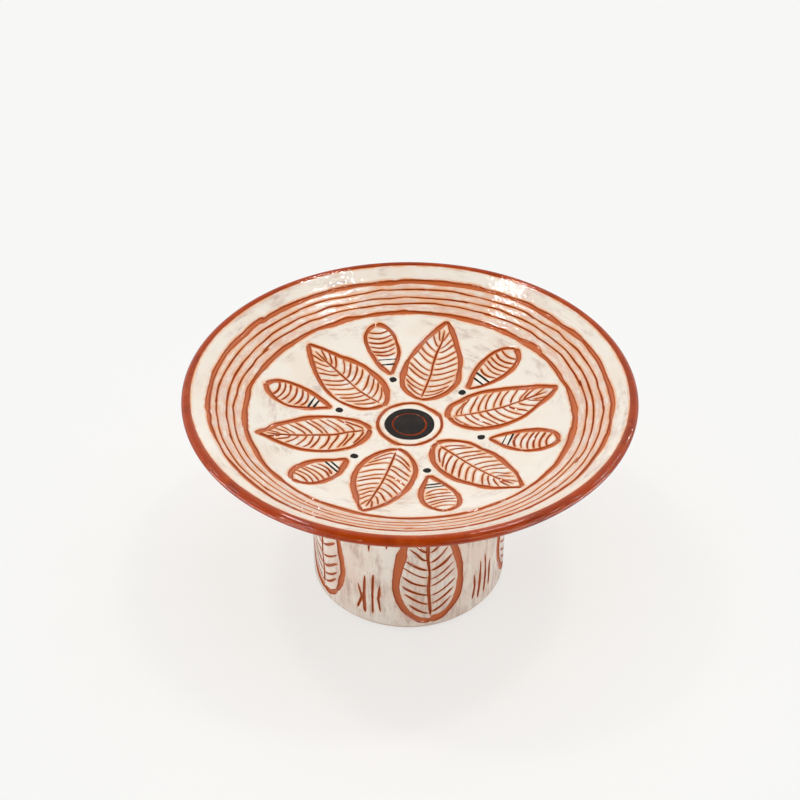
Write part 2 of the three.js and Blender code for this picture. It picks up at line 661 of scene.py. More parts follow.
@dataclass(frozen=True)
class DishForm(Form):
    """The dish: a flat floor, a wall in one arc, a round lip, and an underside in one arc down to the seat.

    Attributes are in millimetres. All but the last two, which are the radius at which the carved sheet
    ends and how far the lip wavers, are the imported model's.
    """

    rim_radius: float
    height: float
    seat_height: float
    depth: float = 29.0
    floor_radius: float = 30.0
    lip_thickness: float = 6.2
    clay_band: float = 5.0
    seat_radius: float = 61.0
    sheet_radius: float = 127.0
    waver: float = 0.5

    @property
    def lip_radius(self) -> float:
        """Radius of the round lip."""
        return self.lip_thickness / 2

    @property
    def lip_middle(self) -> Array:
        """Middle of the round lip, as radius and height."""
        return np.array([self.rim_radius - self.lip_radius, self.height - self.lip_radius])

    @property
    def slip_edge(self) -> float:
        """Mean radius at which the slip ends."""
        return self.rim_radius - self.clay_band

    @property
    def wall_radius(self) -> float:
        """Radius of the wall's arc: (run squared + rise squared) / (2 rise).

        Returns:
            The radius, in millimetres.
        """
        run = self.slip_edge - self.floor_radius
        inwards = self.lip_middle[0] - self.slip_edge
        top = self.lip_middle[1] + math.sqrt(self.lip_radius ** 2 - inwards ** 2)
        rise = top - (self.height - self.depth)
        return (run ** 2 + rise ** 2) / (2 * rise)

    def inner_face(self, radius: Array) -> tuple[Array, Array]:
        """The face inside the dish: level floor, then the wall's arc, then the lip's arc.

        Args:
            radius: Distances from the axis.

        Returns:
            The heights, and unit normals as radius and height components.
        """
        run = np.maximum(radius - self.floor_radius, 0)
        slope = run / self.wall_radius
        upright = np.sqrt(1 - slope ** 2)
        height = self.height - self.depth + self.wall_radius * (1 - upright)
        aside = np.clip((radius - self.lip_middle[0]) / self.lip_radius, -1, 1)
        lip_up = np.sqrt(1 - aside ** 2)
        lip_height = self.lip_middle[1] + self.lip_radius * lip_up
        on_lip = radius > self.slip_edge
        normal = np.column_stack([np.where(on_lip, aside, -slope), np.where(on_lip, lip_up, upright)])
        return np.where(on_lip, lip_height, height), normal

    def outer_profile(self) -> Array:
        """Radius and height from the sheet's border, over the lip and along the underside to the seat.

        Returns:
            Radius and height of each point.
        """
        wall_slope = math.asin((self.slip_edge - self.floor_radius) / self.wall_radius)
        first = math.acos((self.sheet_radius - self.lip_middle[0]) / self.lip_radius)
        angle = np.linspace(first, wall_slope - math.pi / 2, 22)[1:]
        nose = self.lip_middle + on_circle(self.lip_radius, angle)
        return np.concatenate([nose, self.underside(nose[-1])[1:]])

    def underside(self, start: Array) -> Array:
        """The arc that leaves the lip smoothly and passes through the seat's edge.

        Its middle lies along the normal at the start, at a radius of the chord squared over twice the
        chord's length along that normal.

        Args:
            start: Radius and height where the arc leaves the lip.

        Returns:
            Radius and height of each point.
        """
        inward = (self.lip_middle - start) / self.lip_radius
        end = np.array([self.seat_radius, self.seat_height])
        chord = end - start
        radius = chord @ chord / (2 * chord @ inward)
        middle = start + inward * radius
        turns = [math.atan2(point[1] - middle[1], point[0] - middle[0]) for point in (start, end)]
        return middle + on_circle(radius, np.linspace(*turns, 30))

    def thrown(self, radius: Array, height: Array, angle: Array) -> Array:
        """Points in space, with the lip wavering inwards and down as a thrown one does.

        Args:
            radius: Distances from the axis on a true dish.
            height: Heights on it.
            angle: Angles round it.

        Returns:
            The points, in millimetres.
        """
        out = np.clip((radius - self.seat_radius) / (self.rim_radius - self.seat_radius), 0, 1) ** 2
        radius = radius - self.waver * out * (0.5 + 0.5 * ripple(angle, 21, 2, 6))
        height = height - self.waver * out * (0.5 + 0.5 * ripple(angle, 22, 2, 5))
        return turned(radius, angle, height)

    def place(self, plan: Array, lift: Array) -> Array:
        """Points in space of plan points, which are as seen from above.

        Args:
            plan: Plan points, in millimetres.
            lift: Height of each above the slip's face, in millimetres.

        Returns:
            The points in space.
        """
        radius, angle = polar(plan)
        height, normal = self.inner_face(radius)
        return self.thrown(radius + lift * normal[:, 0], height + lift * normal[:, 1], angle)

    def edge_radius(self, angle: Array) -> Array:
        """Radius at which the brushed slip stops."""
        return self.slip_edge + 0.35 * ripple(angle, 31, 3, 9) + 0.3 * ripple(angle, 32, 20, 60)

    def margin(self, plan: Array) -> Array:
        """Distance inside the slip's edge."""
        radius, angle = polar(plan)
        return self.edge_radius(angle) - radius

    def coat_outline(self) -> Array:
        """The slip's wavy edge."""
        angle = facet_angles()
        return on_circle(self.edge_radius(angle), angle)

    def border(self) -> Array:
        """A circle on the top of the lip."""
        return on_circle(self.sheet_radius, facet_angles())

    def spread(self, spacing: float) -> Array:
        """Points on circles a spacing apart, and a spacing apart along them.

        Args:
            spacing: Distance between points.

        Returns:
            Plan points.
        """
        circles = [np.zeros((1, 2))]
        for radius in np.arange(spacing, self.slip_edge - 1.5, spacing):
            count = int(2 * math.pi * radius / spacing)
            circles.append(on_circle(radius, (np.arange(count) + 0.37 * radius) * 2 * math.pi / count))
        beside = [on_circle(self.slip_edge + gap, facet_angles() + 0.005) for gap in (-1.3, 1.1)]
        return np.concatenate(circles + beside)


@dataclass(frozen=True)
class DrumForm(Form):
    """The drum's outside. Its plan is unrolled: distance round from the front, and height.

    Attributes:
        radius: Radius of the slip's face, in millimetres.
        height: Height of the seat of the dish on it.
        slip_bottom: Height at which the slip ends.
        bevel: Height of the bevel at the foot.
        middle: Angle of the middle of the design, in radians.
        waver: How far the drum is out of true, in millimetres.
        flat_depth: How far it is pressed in at its flat place by the foot.
        flat_heading: Angle of that place, in radians.
        flat_spread: Half of its width, in radians.
        flat_height: Height up to which it reaches, in millimetres.
    """

    radius: float
    height: float
    slip_bottom: float
    bevel: float = 1.5
    middle: float = FRONT + math.radians(12)
    waver: float = 0.25
    flat_depth: float = 1.3
    flat_heading: float = math.radians(-42)
    flat_spread: float = 0.55
    flat_height: float = 70.0

    @property
    def girth(self) -> float:
        """Length round the drum."""
        return 2 * math.pi * self.radius

    def squeeze(self, angle: Array, height: Array) -> Array:
        """How far the thrown drum stands inside a true one: the base is a little flat at the front right.

        Args:
            angle: Angles round the drum.
            height: Heights on it.

        Returns:
            The distance at each point, in millimetres.
        """
        away = np.angle(np.exp(1j * (angle - self.flat_heading)))
        flat = self.flat_depth * np.exp(-((away / self.flat_spread) ** 2))
        waver = self.waver * (1 + ripple(angle, 41, 2, 5))
        return flat * np.clip(1 - height / self.flat_height, 0, 1) + waver

    def place(self, plan: Array, lift: Array) -> Array:
        """Points in space of unrolled points.

        Args:
            plan: Plan points, in millimetres.
            lift: Height of each above the slip's face, in millimetres.

        Returns:
            The points in space.
        """
        angle = self.middle + plan[:, 0] / self.radius
        radius = self.radius + lift - self.squeeze(angle, plan[:, 1])
        return turned(radius, angle, plan[:, 1])

    def edge_height(self, along: Array) -> Array:
        """Height at which the slip stops above the foot."""
        angle = along / self.radius
        return self.slip_bottom - 0.3 + 0.4 * ripple(angle, 51, 3, 9) + 0.2 * ripple(angle, 52, 20, 50)

    def margin(self, plan: Array) -> Array:
        """Distance above the slip's lower edge."""
        return plan[:, 1] - self.edge_height(plan[:, 0])

    def columns(self) -> Array:
        """Distances round the drum of its facets, from the seam at the back round to the seam."""
        return np.linspace(-self.girth / 2, self.girth / 2, TURNS + 1)

    def coat_outline(self) -> Array:
        """The wavy lower edge, and the seams and the upper edge of the sheet.

        Returns:
            The outline, anticlockwise.
        """
        lowest = self.edge_height(self.columns())
        side = self.sides()
        return self.outlined(lowest, side[side[:, 1] > lowest[0] + 0.4])

    def sides(self) -> Array:
        """Points up the seam, between the sheet's corners."""
        heights = np.linspace(self.bevel, self.height, 50)[1:-1]
        return np.column_stack([np.full(len(heights), -self.girth / 2), heights])

    def border(self) -> Array:
        """The whole unrolled strip."""
        return self.outlined(np.full(TURNS + 1, self.bevel), self.sides())

    def outlined(self, lowest: Array, side: Array) -> Array:
        """Outline of a part of the strip that reaches up to the dish.

        Args:
            lowest: Height of its lower edge at each column.
            side: Points up its left side, between the corners.

        Returns:
            The outline, anticlockwise.
        """
        across = self.columns()
        lower = np.column_stack([across, lowest])
        upper = np.column_stack([across[::-1], np.full(len(across), self.height)])
        right = side * np.array([-1, 1])
        return np.concatenate([lower, right, upper, side[::-1]])

    def spread(self, spacing: float) -> Array:
        """A staggered grid of points over the strip.

        Args:
            spacing: Distance between points.

        Returns:
            Plan points.
        """
        across = np.arange(-self.girth / 2 + spacing, self.girth / 2 - spacing / 2, spacing)
        up = np.arange(self.slip_bottom + 3, self.height - 1, spacing)
        x, y = np.meshgrid(across, up)
        x = x + np.where(np.arange(len(up)) % 2, spacing / 2, 0)[:, None]
        keep = x < self.girth / 2 - spacing / 2
        return np.column_stack([x[keep], y[keep]])


def distance_to_cuts(points: Array, strokes: list[Stroke], reach: float) -> Array:
    """Distance in the plan from points to the nearest edge of a cut.

    For each short piece of a stroke it is the distance to the middle line less the half width there. The
    points are taken tile by tile, with only the pieces of strokes that lie near the tile.

    Args:
        points: Plan points.
        strokes: The cuts.
        reach: Longest distance of interest, which stands for all longer ones.

    Returns:
        One distance per point, less than 0 inside a cut.
    """
    start = np.concatenate([stroke.line[:-1] for stroke in strokes])
    step = np.concatenate([np.diff(stroke.line, axis=0) for stroke in strokes])
    near_width = np.concatenate([stroke.half_width[:-1] for stroke in strokes])
    widening = np.concatenate([np.diff(stroke.half_width) for stroke in strokes])
    length_squared = np.maximum((step ** 2).sum(axis=1), 1e-9)
    # No part of a short piece lies farther than this from where the piece begins
    slack = 4
    cells = np.floor(points / TILE).astype(int)
    distance = np.full(len(points), reach)
    for cell in np.unique(cells, axis=0):
        here = np.flatnonzero((cells == cell).all(axis=1))
        middle = (cell + 0.5) * TILE
        near = (np.abs(start - middle) < TILE / 2 + reach + slack).all(axis=1)
        if near.any():
            offset = points[here, None] - start[near]
            part = np.clip((offset * step[near]).sum(axis=2) / length_squared[near], 0, 1)
            gap = offset - part[..., None] * step[near]
            edge = np.hypot(gap[..., 0], gap[..., 1]) - near_width[near] - part * widening[near]
            distance[here] = np.minimum(edge.min(axis=1), reach)
    return distance


class Area(Enum):
    """The kinds of outline that divide the sheet."""

    SHEET = 0
    COAT = 1
    CUT = 2
    BLACK = 3


@dataclass(frozen=True)
class Relief:
    """How slip and clay stand at a cut. Lifts are off the slip's face, in millimetres.

    Attributes:
        burr: Height of the burr that the tool raises.
        burr_middle: Its distance from the cut.
        burr_width: Half of its width.
        slip_top_edge: Lift of the slip's face at an edge.
        slip_round: Distance over which the face falls to it.
        clay_edge: Lift of the clay, and of the slip's back, at an edge.
        slip_back: Lift of the slip's back away from edges.
        clay_under: Lift of the clay under it.
        back_round: Distance over which both fall away.
        cut_depth: Depth of a wide cut below the clay's edge.
        cut_round: Distance over which the cut reaches it.
        rim_round: Distance over which the clay rises beyond the slip's own edge.
    """

    burr: float = 0.07
    slip_round: float = 0.14
    slip_top_edge: float = -0.10
    clay_edge: float = -0.24
    slip_back: float = -0.40
    clay_under: float = -0.56
    cut_depth: float = 0.85
    cut_round: float = 0.42
    burr_middle: float = 0.55
    burr_width: float = 0.35
    back_round: float = 0.4
    rim_round: float = 0.5

    def slip_face(self, distance: Array) -> Array:
        """Top of the slip: it falls at an edge, behind a low burr that the tool raises."""
        fall = self.slip_top_edge * np.exp(-distance / self.slip_round)
        return fall + self.burr * np.exp(-(((distance - self.burr_middle) / self.burr_width) ** 2))

    def slip_underside(self, distance: Array) -> Array:
        """Back of the slip: it meets the clay at an edge, and stays clear of it elsewhere."""
        inland = 1 - np.exp(-distance / self.back_round)
        return self.clay_edge + (self.slip_back - self.clay_edge) * inland

    def clay_face(self, distance: Array, margin: Array) -> Array:
        """Top of the clay: under the slip, down in a cut, or up beyond the slip's edge.

        Args:
            distance: Distances outside a cut, less than 0 inside it.
            margin: Distances inside the slip's edge.

        Returns:
            Heights off the slip's face, in millimetres.
        """
        inland = 1 - np.exp(-np.maximum(distance, 0) / self.back_round)
        under = self.clay_edge + (self.clay_under - self.clay_edge) * inland
        depth = self.cut_depth * (1 - np.exp(-np.maximum(-distance, 0) / self.cut_round))
        beyond = self.clay_edge * np.exp(-np.maximum(-margin, 0) / self.rim_round)
        return np.where(margin < 0, beyond, np.where(distance < 0, self.clay_edge - depth, under))


@dataclass
class CarvedSheet:
    """A wall with its slip coat, laid out flat and divided into triangles along every edge of the design.

    Attributes:
        form: The wall.
        strokes: The cuts through the slip.
        patches: Outlines of black pigment.
        relief: How slip and clay stand at a cut.
        spacing: Spacing of points away from the design, in millimetres.
        reach: Longest distance from a cut that counts, in millimetres.
        rows: How far outside a cut's edges rows of points lie, in millimetres.
        clear: Least distance of those points from another cut, and from the slip's edge.
        apart: Least distance of the points of the spread from a cut.
        least: Least distance from the slip's edges of a point that isn't on one.
    """

    form: Form
    strokes: list[Stroke]
    patches: list[Array] = field(default_factory=list)
    relief: Relief = Relief()
    spacing: float = 3.0
    reach: float = 6.0
    rows: Pair = (0.6, 1.7)
    clear: Pair = (0.45, 0.8)
    apart: float = 2.4
    least: float = 0.03

    def __post_init__(self) -> None:
        """Divides the sheet, then measures each point's distance from the cuts and the slip's edge."""
        outlines = [(Area.SHEET, self.form.border()), (Area.COAT, self.form.coat_outline())]
        outlines += [(Area.CUT, stroke.outline()) for stroke in self.strokes]
        outlines += [(Area.BLACK, patch) for patch in self.patches]
        self.divide(outlines, self.loose_points())
        self.cut_distance = distance_to_cuts(self.plan, self.strokes, self.reach)
        self.margins = self.form.margin(self.plan)
        self.settle_edges()

    def loose_points(self) -> Array:
        """Points of the mesh that lie on no outline: beside and within the cuts, and over the rest.

        Returns:
            Plan points.
        """
        beside = np.concatenate([stroke.flanks(gap) for stroke in self.strokes for gap in self.rows])
        clear = distance_to_cuts(beside, self.strokes, self.reach) > self.clear[0]
        beside = beside[clear & (self.form.margin(beside) > self.clear[1])]
        wide = self.form.spread(self.spacing)
        wide = wide[distance_to_cuts(wide, self.strokes, self.reach) > self.apart]
        return np.concatenate([beside, wide] + [stroke.bed() for stroke in self.strokes])

    def divide(self, outlines: list[tuple[Area, Array]], loose: Array) -> None:
        """Makes the triangles, and finds which kinds of outline each lies in.

        Args:
            outlines: Kind and points of each outline.
            loose: Points that lie on no outline.
        """
        sizes = [len(points) for _, points in outlines]
        starts = np.cumsum([0] + sizes)
        given = np.concatenate([points for _, points in outlines] + [loose])
        faces = [list(range(start, start + size)) for start, size in zip(starts, sizes)]
        made = delaunay_2d_cdt(list(map(Vector, given.tolist())), [], faces, 0, 1e-5, True)
        source = np.fromiter((found[0] if found else -1 for found in made[3]), int)
        self.plan = np.where((source >= 0)[:, None], given[source], np.array([v[:] for v in made[0]]))
        self.triangles = np.array(made[2])
        owners = np.fromiter(chain.from_iterable(made[5]), int)
        triangle = np.repeat(np.arange(len(self.triangles)), np.fromiter(map(len, made[5]), int))
        kinds = np.array([area.value for area, _ in outlines])
        self.within = np.zeros((len(Area), len(self.triangles)), bool)
        self.within[kinds[owners], triangle] = True
        self.border_index = np.full(sizes[0], -1)
        on_border = (source >= 0) & (source < sizes[0])
        self.border_index[source[on_border]] = np.flatnonzero(on_border)
        kept = self.within[Area.SHEET.value]
        self.triangles = self.triangles[kept]
        self.within = self.within[:, kept]

    def settle_edges(self) -> None:
        """Gives points on the slip's edges a distance of 0, and those inside cuts less."""
        slip = self.slip_triangles()
        every = np.arange(len(self.plan))
        in_slip, in_cut = (np.isin(every, self.triangles[part]) for part in (slip, ~slip))
        inside = np.minimum(self.cut_distance, -self.least)
        outside = np.maximum(self.cut_distance, self.least)
        places = [in_slip & in_cut, in_cut, in_slip]
        self.cut_distance = np.select(places, [0.0, inside, outside], self.cut_distance)
        self.margins = np.where(in_slip, np.maximum(self.margins, 0), self.margins)

    def slip_triangles(self) -> Array:
        """Which triangles the slip covers: those of the coat that no cut takes away."""
        return self.within[Area.COAT.value] & ~self.within[Area.CUT.value]

    def join(self, left: Array, right: Array) -> None:
        """Joins the sheet into a tube: points on its right side become those on its left.

        Args:
            left: Numbers of the points on the left side.
            right: Numbers of the points on the right side, in the same order.
        """
        same = np.arange(len(self.plan))
        same[right] = left
        self.triangles = same[self.triangles]
        self.border_index = same[self.border_index]

    def slip_coat(self) -> tuple[Array, Array, Array, Array]:
        """The slip as a closed coat: its face, its back, and the walls between them round every edge.

        Returns:
            Points in space, triangles, which of them are black, and each point's distance from an edge.
        """
        chosen = self.slip_triangles()
        face = self.triangles[chosen]
        black = self.within[Area.BLACK.value][chosen]
        used, face = np.unique(face, return_inverse=True)
        face = face.reshape(-1, 3)
        edge = np.minimum(np.maximum(self.cut_distance[used], 0), self.margins[used])
        plan = self.plan[used]
        top = self.form.place(plan, self.relief.slip_face(edge))
        back = self.form.place(plan, self.relief.slip_underside(edge))
        count = len(used)
        rim = open_edges(face, count)
        a, b = rim.T
        walls = np.concatenate([
            np.column_stack([b, a, a + count]),
            np.column_stack([b, a + count, b + count]),
        ])
        triangles = np.concatenate([face, face[:, ::-1] + count, walls])
        is_black = np.concatenate([black, np.zeros(len(face) + len(walls), bool)])
        return np.concatenate([top, back]), triangles, is_black, np.tile(edge, 2)

    def clay_face(self) -> Array:
        """Points in space of the clay under and between the slip."""
        return self.form.place(self.plan, self.relief.clay_face(self.cut_distance, self.margins))

    def depths(self, count: int) -> dict[str, Array]:
        """How far inside a cut each point of the clay's face lies, then 0 up to a count of points."""
        inside = np.maximum(-self.cut_distance, 0)
        return {"cut_depth": np.pad(inside, (0, count - len(inside)))}


def open_edges(triangles: Array, count: int) -> Array:
    """Edges that only one triangle has, each as its two points in that triangle's order.

    Args:
        triangles: Three points for each triangle.
        count: Number of points.

    Returns:
        Two points for each edge.
    """
    edges = np.concatenate([triangles[:, [0, 1]], triangles[:, [1, 2]], triangles[:, [2, 0]]])
    forward = edges[:, 0] * count + edges[:, 1]
    backward = edges[:, 1] * count + edges[:, 0]
    return edges[~np.isin(forward, backward)]


def band(first: Array, second: Array) -> Array:
    """Triangles between two closed rings of points with as many points each.

    Args:
        first: Numbers of the points of one ring.
        second: Those of the other.

    Returns:
        Three points for each triangle.
    """
    a, b = first, second
    c, d = np.roll(second, -1), np.roll(first, -1)
    return np.concatenate([np.column_stack([a, b, c]), np.column_stack([a, c, d])])


def bands(rings: list[Array]) -> Array:
    """Triangles between each ring of points and the next."""
    return np.concatenate([band(first, second) for first, second in zip(rings, rings[1:])])


def placed(name: str, data: bpy.types.ID) -> bpy.types.Object:
    """Puts a mesh, a lamp or a camera into the scene.

    Args:
        name: Name of the new object.
        data: What it is an object of.

    Returns:
        The object, at the origin.
    """
    made = bpy.data.objects.new(name, data)
    bpy.context.scene.collection.objects.link(made)
    return made


def new_piece(
    name: str,
    points: Array,
    triangles: Array,
    materials: list[Material],
    choice: Array | None = None,
    measures: dict[str, Array] | None = None,
) -> bpy.types.Object:
    """Puts a mesh into the scene.

    Args:
        name: Name of the piece.
        points: Its points in millimetres.
        triangles: Three points for each triangle, outward faces anticlockwise.
        materials: Its materials.
        choice: Which material each triangle takes, or None where there is one.
        measures: Named numbers, one for each point, for its materials to read.

    Returns:
        The new object, at the origin.
    """
    used, flat = np.unique(triangles, return_inverse=True)
    mesh = bpy.data.meshes.new(name)
    mesh.vertices.add(len(used))
    mesh.vertices.foreach_set("co", (points[used] * MM).astype(np.float32).ravel())
    mesh.loops.add(flat.size)
    mesh.loops.foreach_set("vertex_index", flat.astype(np.int32).ravel())
    mesh.polygons.add(len(triangles))
    mesh.polygons.foreach_set("loop_start", np.arange(0, flat.size, 3, dtype=np.int32))
    for material in materials:
        mesh.materials.append(material)
    if choice is not None:
        mesh.polygons.foreach_set("material_index", choice.astype(np.int32))
    for measure, values in (measures or {}).items():
        layer = mesh.attributes.new(measure, "FLOAT", "POINT")
        layer.data.foreach_set("value", values[used].astype(np.float32))
    mesh.update(calc_edges=True)
    mesh.validate()
    mesh.shade_smooth()
    mesh.set_sharp_from_angle(angle=SHARP_EDGE)
    log.info("%s: %d points, %d triangles", name, len(used), len(triangles))
    return placed(name, mesh)


def fit(piece: bpy.types.Object, node: str) -> None:
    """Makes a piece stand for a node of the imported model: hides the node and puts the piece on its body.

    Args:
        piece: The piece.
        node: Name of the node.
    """
    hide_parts(node)
    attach(piece, BODY)


def linear(code: str) -> tuple[float, float, float, float]:
    """A colour written as sRGB hex, as linear red, green, blue and full alpha.

    Args:
        code: Six hex digits.

    Returns:
        The four numbers.
    """
    values = np.array([int(code[start:start + 2], 16) / 255 for start in (0, 2, 4)])
    values = np.where(values <= 0.04045, values / 12.92, ((values + 0.055) / 1.055) ** 2.4)
    return (*values.tolist(), 1.0)


def feed(node: Node, inputs: dict) -> None:
    """Gives a node's inputs their values, or links to sockets.

    Args:
        node: The node.
        inputs: A value or a socket for each input, by the input's name or number.
    """
    for key, value in inputs.items():
        if isinstance(value, Socket):
            node.id_data.links.new(value, node.inputs[key])
        else:
            node.inputs[key].default_value = value


def add(tree: Tree, kind: str, settings: dict | None = None, inputs: dict | None = None) -> Node:
    """Adds a node, with its settings and links.

    Args:
        tree: The node tree.
        kind: The shader node's type.
        settings: Values of the node's own properties, by name.
        inputs: Values or sockets for its inputs, by name or number.

    Returns:
        The node.
    """
    node = tree.nodes.new("ShaderNode" + kind)
    for key, value in (settings or {}).items():
        setattr(node, key, value)
    feed(node, inputs or {})
    return node


class Brushing(Enum):
    """Which way the slip was brushed on."""

    ROUND = "round the wheel"
    UPRIGHT = "up and down"


@dataclass(frozen=True)
class Surroundings:
    """Where a point of a surface lies, as sockets.

    Attributes:
        place: Object coordinates, in metres.
        out: Distance from the bowl's axis, in millimetres.
        up: Height above the foot, in millimetres.
    """

    place: Socket
    out: Socket
    up: Socket


def surroundings(tree: Tree) -> Surroundings:
    """Adds the nodes that say where a point of the surface lies.

    Args:
        tree: The material's nodes.

    Returns:
        The sockets.
    """
    place = add(tree, "TexCoord").outputs["Object"]
    flat = add(tree, "VectorMath", MULTIPLY, {0: place, 1: (1 / MM, 1 / MM, 0)})
    out = add(tree, "VectorMath", {"operation": "LENGTH"}, {0: flat.outputs[0]})
    up = add(tree, "VectorMath", {"operation": "DOT_PRODUCT"}, {0: place, 1: (0, 0, 1 / MM)})
    return Surroundings(place, out.outputs["Value"], up.outputs["Value"])


def tinted(tree: Tree, under: Socket | tuple, tint: str, *shares: Socket | float) -> Socket:
    """Lays a tint over a colour.

    Args:
        tree: The material's nodes.
        under: The colour under it.
        tint: The tint, as sRGB hex.
        shares: Numbers or sockets from 0 to 1, the first a socket, whose product is the tint's share.

    Returns:
        The colour with the tint on it.
    """
    amount = shares[0]
    for share in shares[1:]:
        amount = add(tree, "Math", MULTIPLY, {0: amount, 1: share}).outputs[0]
    layers = {"Factor": amount, 6: under, 7: linear(tint)}
    return add(tree, "Mix", {"data_type": "RGBA"}, layers).outputs[2]


@dataclass(frozen=True)
class Span:
    """A stretch of a measure: a share that rises where it begins and falls where it ends.

    Attributes:
        begins: Where the share leaves 0.
        full: Where it reaches 1.
        fades: Where it leaves 1.
        gone: Where it is 0 again.
    """

    begins: float
    full: float
    fades: float
    gone: float

    def share(self, tree: Tree, measure: Socket) -> Socket:
        """The share at a measure, from 0 to 1, with soft ends.

        Args:
            tree: The material's nodes.
            measure: The measure.

        Returns:
            The share, as a socket.
        """
        rise, fall = (
            add(tree, "MapRange", SMOOTH, {
                "Value": measure, "From Min": low, "From Max": high, "To Min": start, "To Max": 1 - start,
            })
            for low, high, start in ((self.begins, self.full, 0.0), (self.fades, self.gone, 1.0))
        )
        both = {0: rise.outputs["Result"], 1: fall.outputs["Result"]}
        return add(tree, "Math", MULTIPLY, both).outputs[0]


@dataclass(frozen=True)
class Blotches:
    """A tint that shows in patches.

    Attributes:
        tint: The tint, as sRGB hex.
        size: Width of a patch, in millimetres.
        begins: Level of noise, from 0 to 1, at which the tint begins to show.
        full: Level of noise at which it shows most.
        strength: Its share of the colour there.
        detail: Octaves of finer noise in a patch.
        roughness: Strength of those octaves.
    """

    tint: str
    size: float
    begins: float
    full: float
    strength: float = 1.0
    detail: float = 3.0
    roughness: float = 0.55

    def over(self, tree: Tree, under: Socket | tuple, place: Socket, *within: Socket | float) -> Socket:
        """Lays the patches over a colour.

        Args:
            tree: The material's nodes.
            under: The colour under them.
            place: Coordinates in metres that the noise is read at.
            within: Further shares from 0 to 1, such as the part of the piece that the patches keep to.

        Returns:
            The colour with the patches on it.
        """
        noise = add(tree, "TexNoise", inputs={
            "Vector": place, "Scale": 0.5 / (self.size * MM),
            "Detail": self.detail, "Roughness": self.roughness,
        })
        share = add(tree, "MapRange", SMOOTH, {
            "Value": noise.outputs["Fac"],
            "From Min": self.begins, "From Max": self.full, "To Max": self.strength,
        })
        return tinted(tree, under, self.tint, share.outputs["Result"], *within)


def clouded(tree: Tree, body: str, clouds: tuple[Blotches, ...], place: Socket) -> Socket:
    """A colour with layers of blotches over it.

    Args:
        tree: The material's nodes.
        body: The colour, as sRGB hex.
        clouds: The layers, the lowest first.
        place: Object coordinates.

    Returns:
        The clouded colour.
    """
    tone = linear(body)
    for layer in clouds:
        tone = layer.over(tree, tone, place)
    return tone


@dataclass(frozen=True)
class Tooth:
    """Fine relief of a surface.

    Attributes:
        size: Width of a bump, in millimetres.
        depth: Height of the bumps, in millimetres.
        detail: Octaves of finer relief on them.
    """

    size: float
    depth: float
    detail: float = 3.0

    def relief(self, tree: Tree, place: Socket) -> Socket:
        """The relief as a normal.

        Args:
            tree: The material's nodes.
            place: Coordinates in metres that the noise is read at.

        Returns:
            The normal, as a socket.
        """
        grain = {"Vector": place, "Scale": 0.5 / (self.size * MM), "Detail": self.detail}
        noise = add(tree, "TexNoise", inputs=grain)
        raised = {"Height": noise.outputs["Fac"], "Distance": self.depth * MM, "Strength": 1.0}
        return add(tree, "Bump", inputs=raised).outputs["Normal"]


@dataclass(frozen=True)
class ClearGlaze:
    """Clear earthenware glaze: a hard gloss over a skin that isn't quite level.

    Attributes:
        dimples: The skin's relief, which breaks a highlight into a cluster of bright dots.
        weight: How much of the glaze's gloss shows.
        roughness: Roughness of the glaze's own face.
        index: Refractive index of the glaze.
        dull: Roughness of the body under it.
    """

    dimples: Tooth = Tooth(1.05, 0.148, 0.0)
    weight: float = 1.0
    roughness: float = 0.04
    index: float = 1.5
    dull: float = 0.6

    def lay(self, tree: Tree, shader: Node, place: Socket) -> None:
        """Coats a shader, whose body under the glaze is dull and has no gloss of its own.

        Args:
            tree: The material's nodes.
            shader: The material's shader.
            place: Object coordinates.
        """
        feed(shader, {
            "Roughness": self.dull, "Specular IOR Level": 0.0, "Coat Weight": self.weight,
            "Coat Roughness": self.roughness, "Coat IOR": self.index,
            "Coat Normal": self.dimples.relief(tree, place),
        })


@dataclass(frozen=True)
class Finish(ABC):
    """A fired surface. Subclasses add what colours it."""

    @property
    @abstractmethod
    def title(self) -> str:
        """The material's name."""

    @abstractmethod
    def dress(self, tree: Tree, shader: Node) -> Socket:
        """Sets the shader's own values, adds its relief, and returns the surface's colour."""

    def material(self) -> Material:
        """The finish as a material.

        Returns:
            The material.
        """
        made = bpy.data.materials.new(self.title)
        made.use_nodes = True
        tree = made.node_tree
        shader = tree.nodes["Principled BSDF"]
        feed(shader, {"Base Color": self.dress(tree, shader)})
        return made


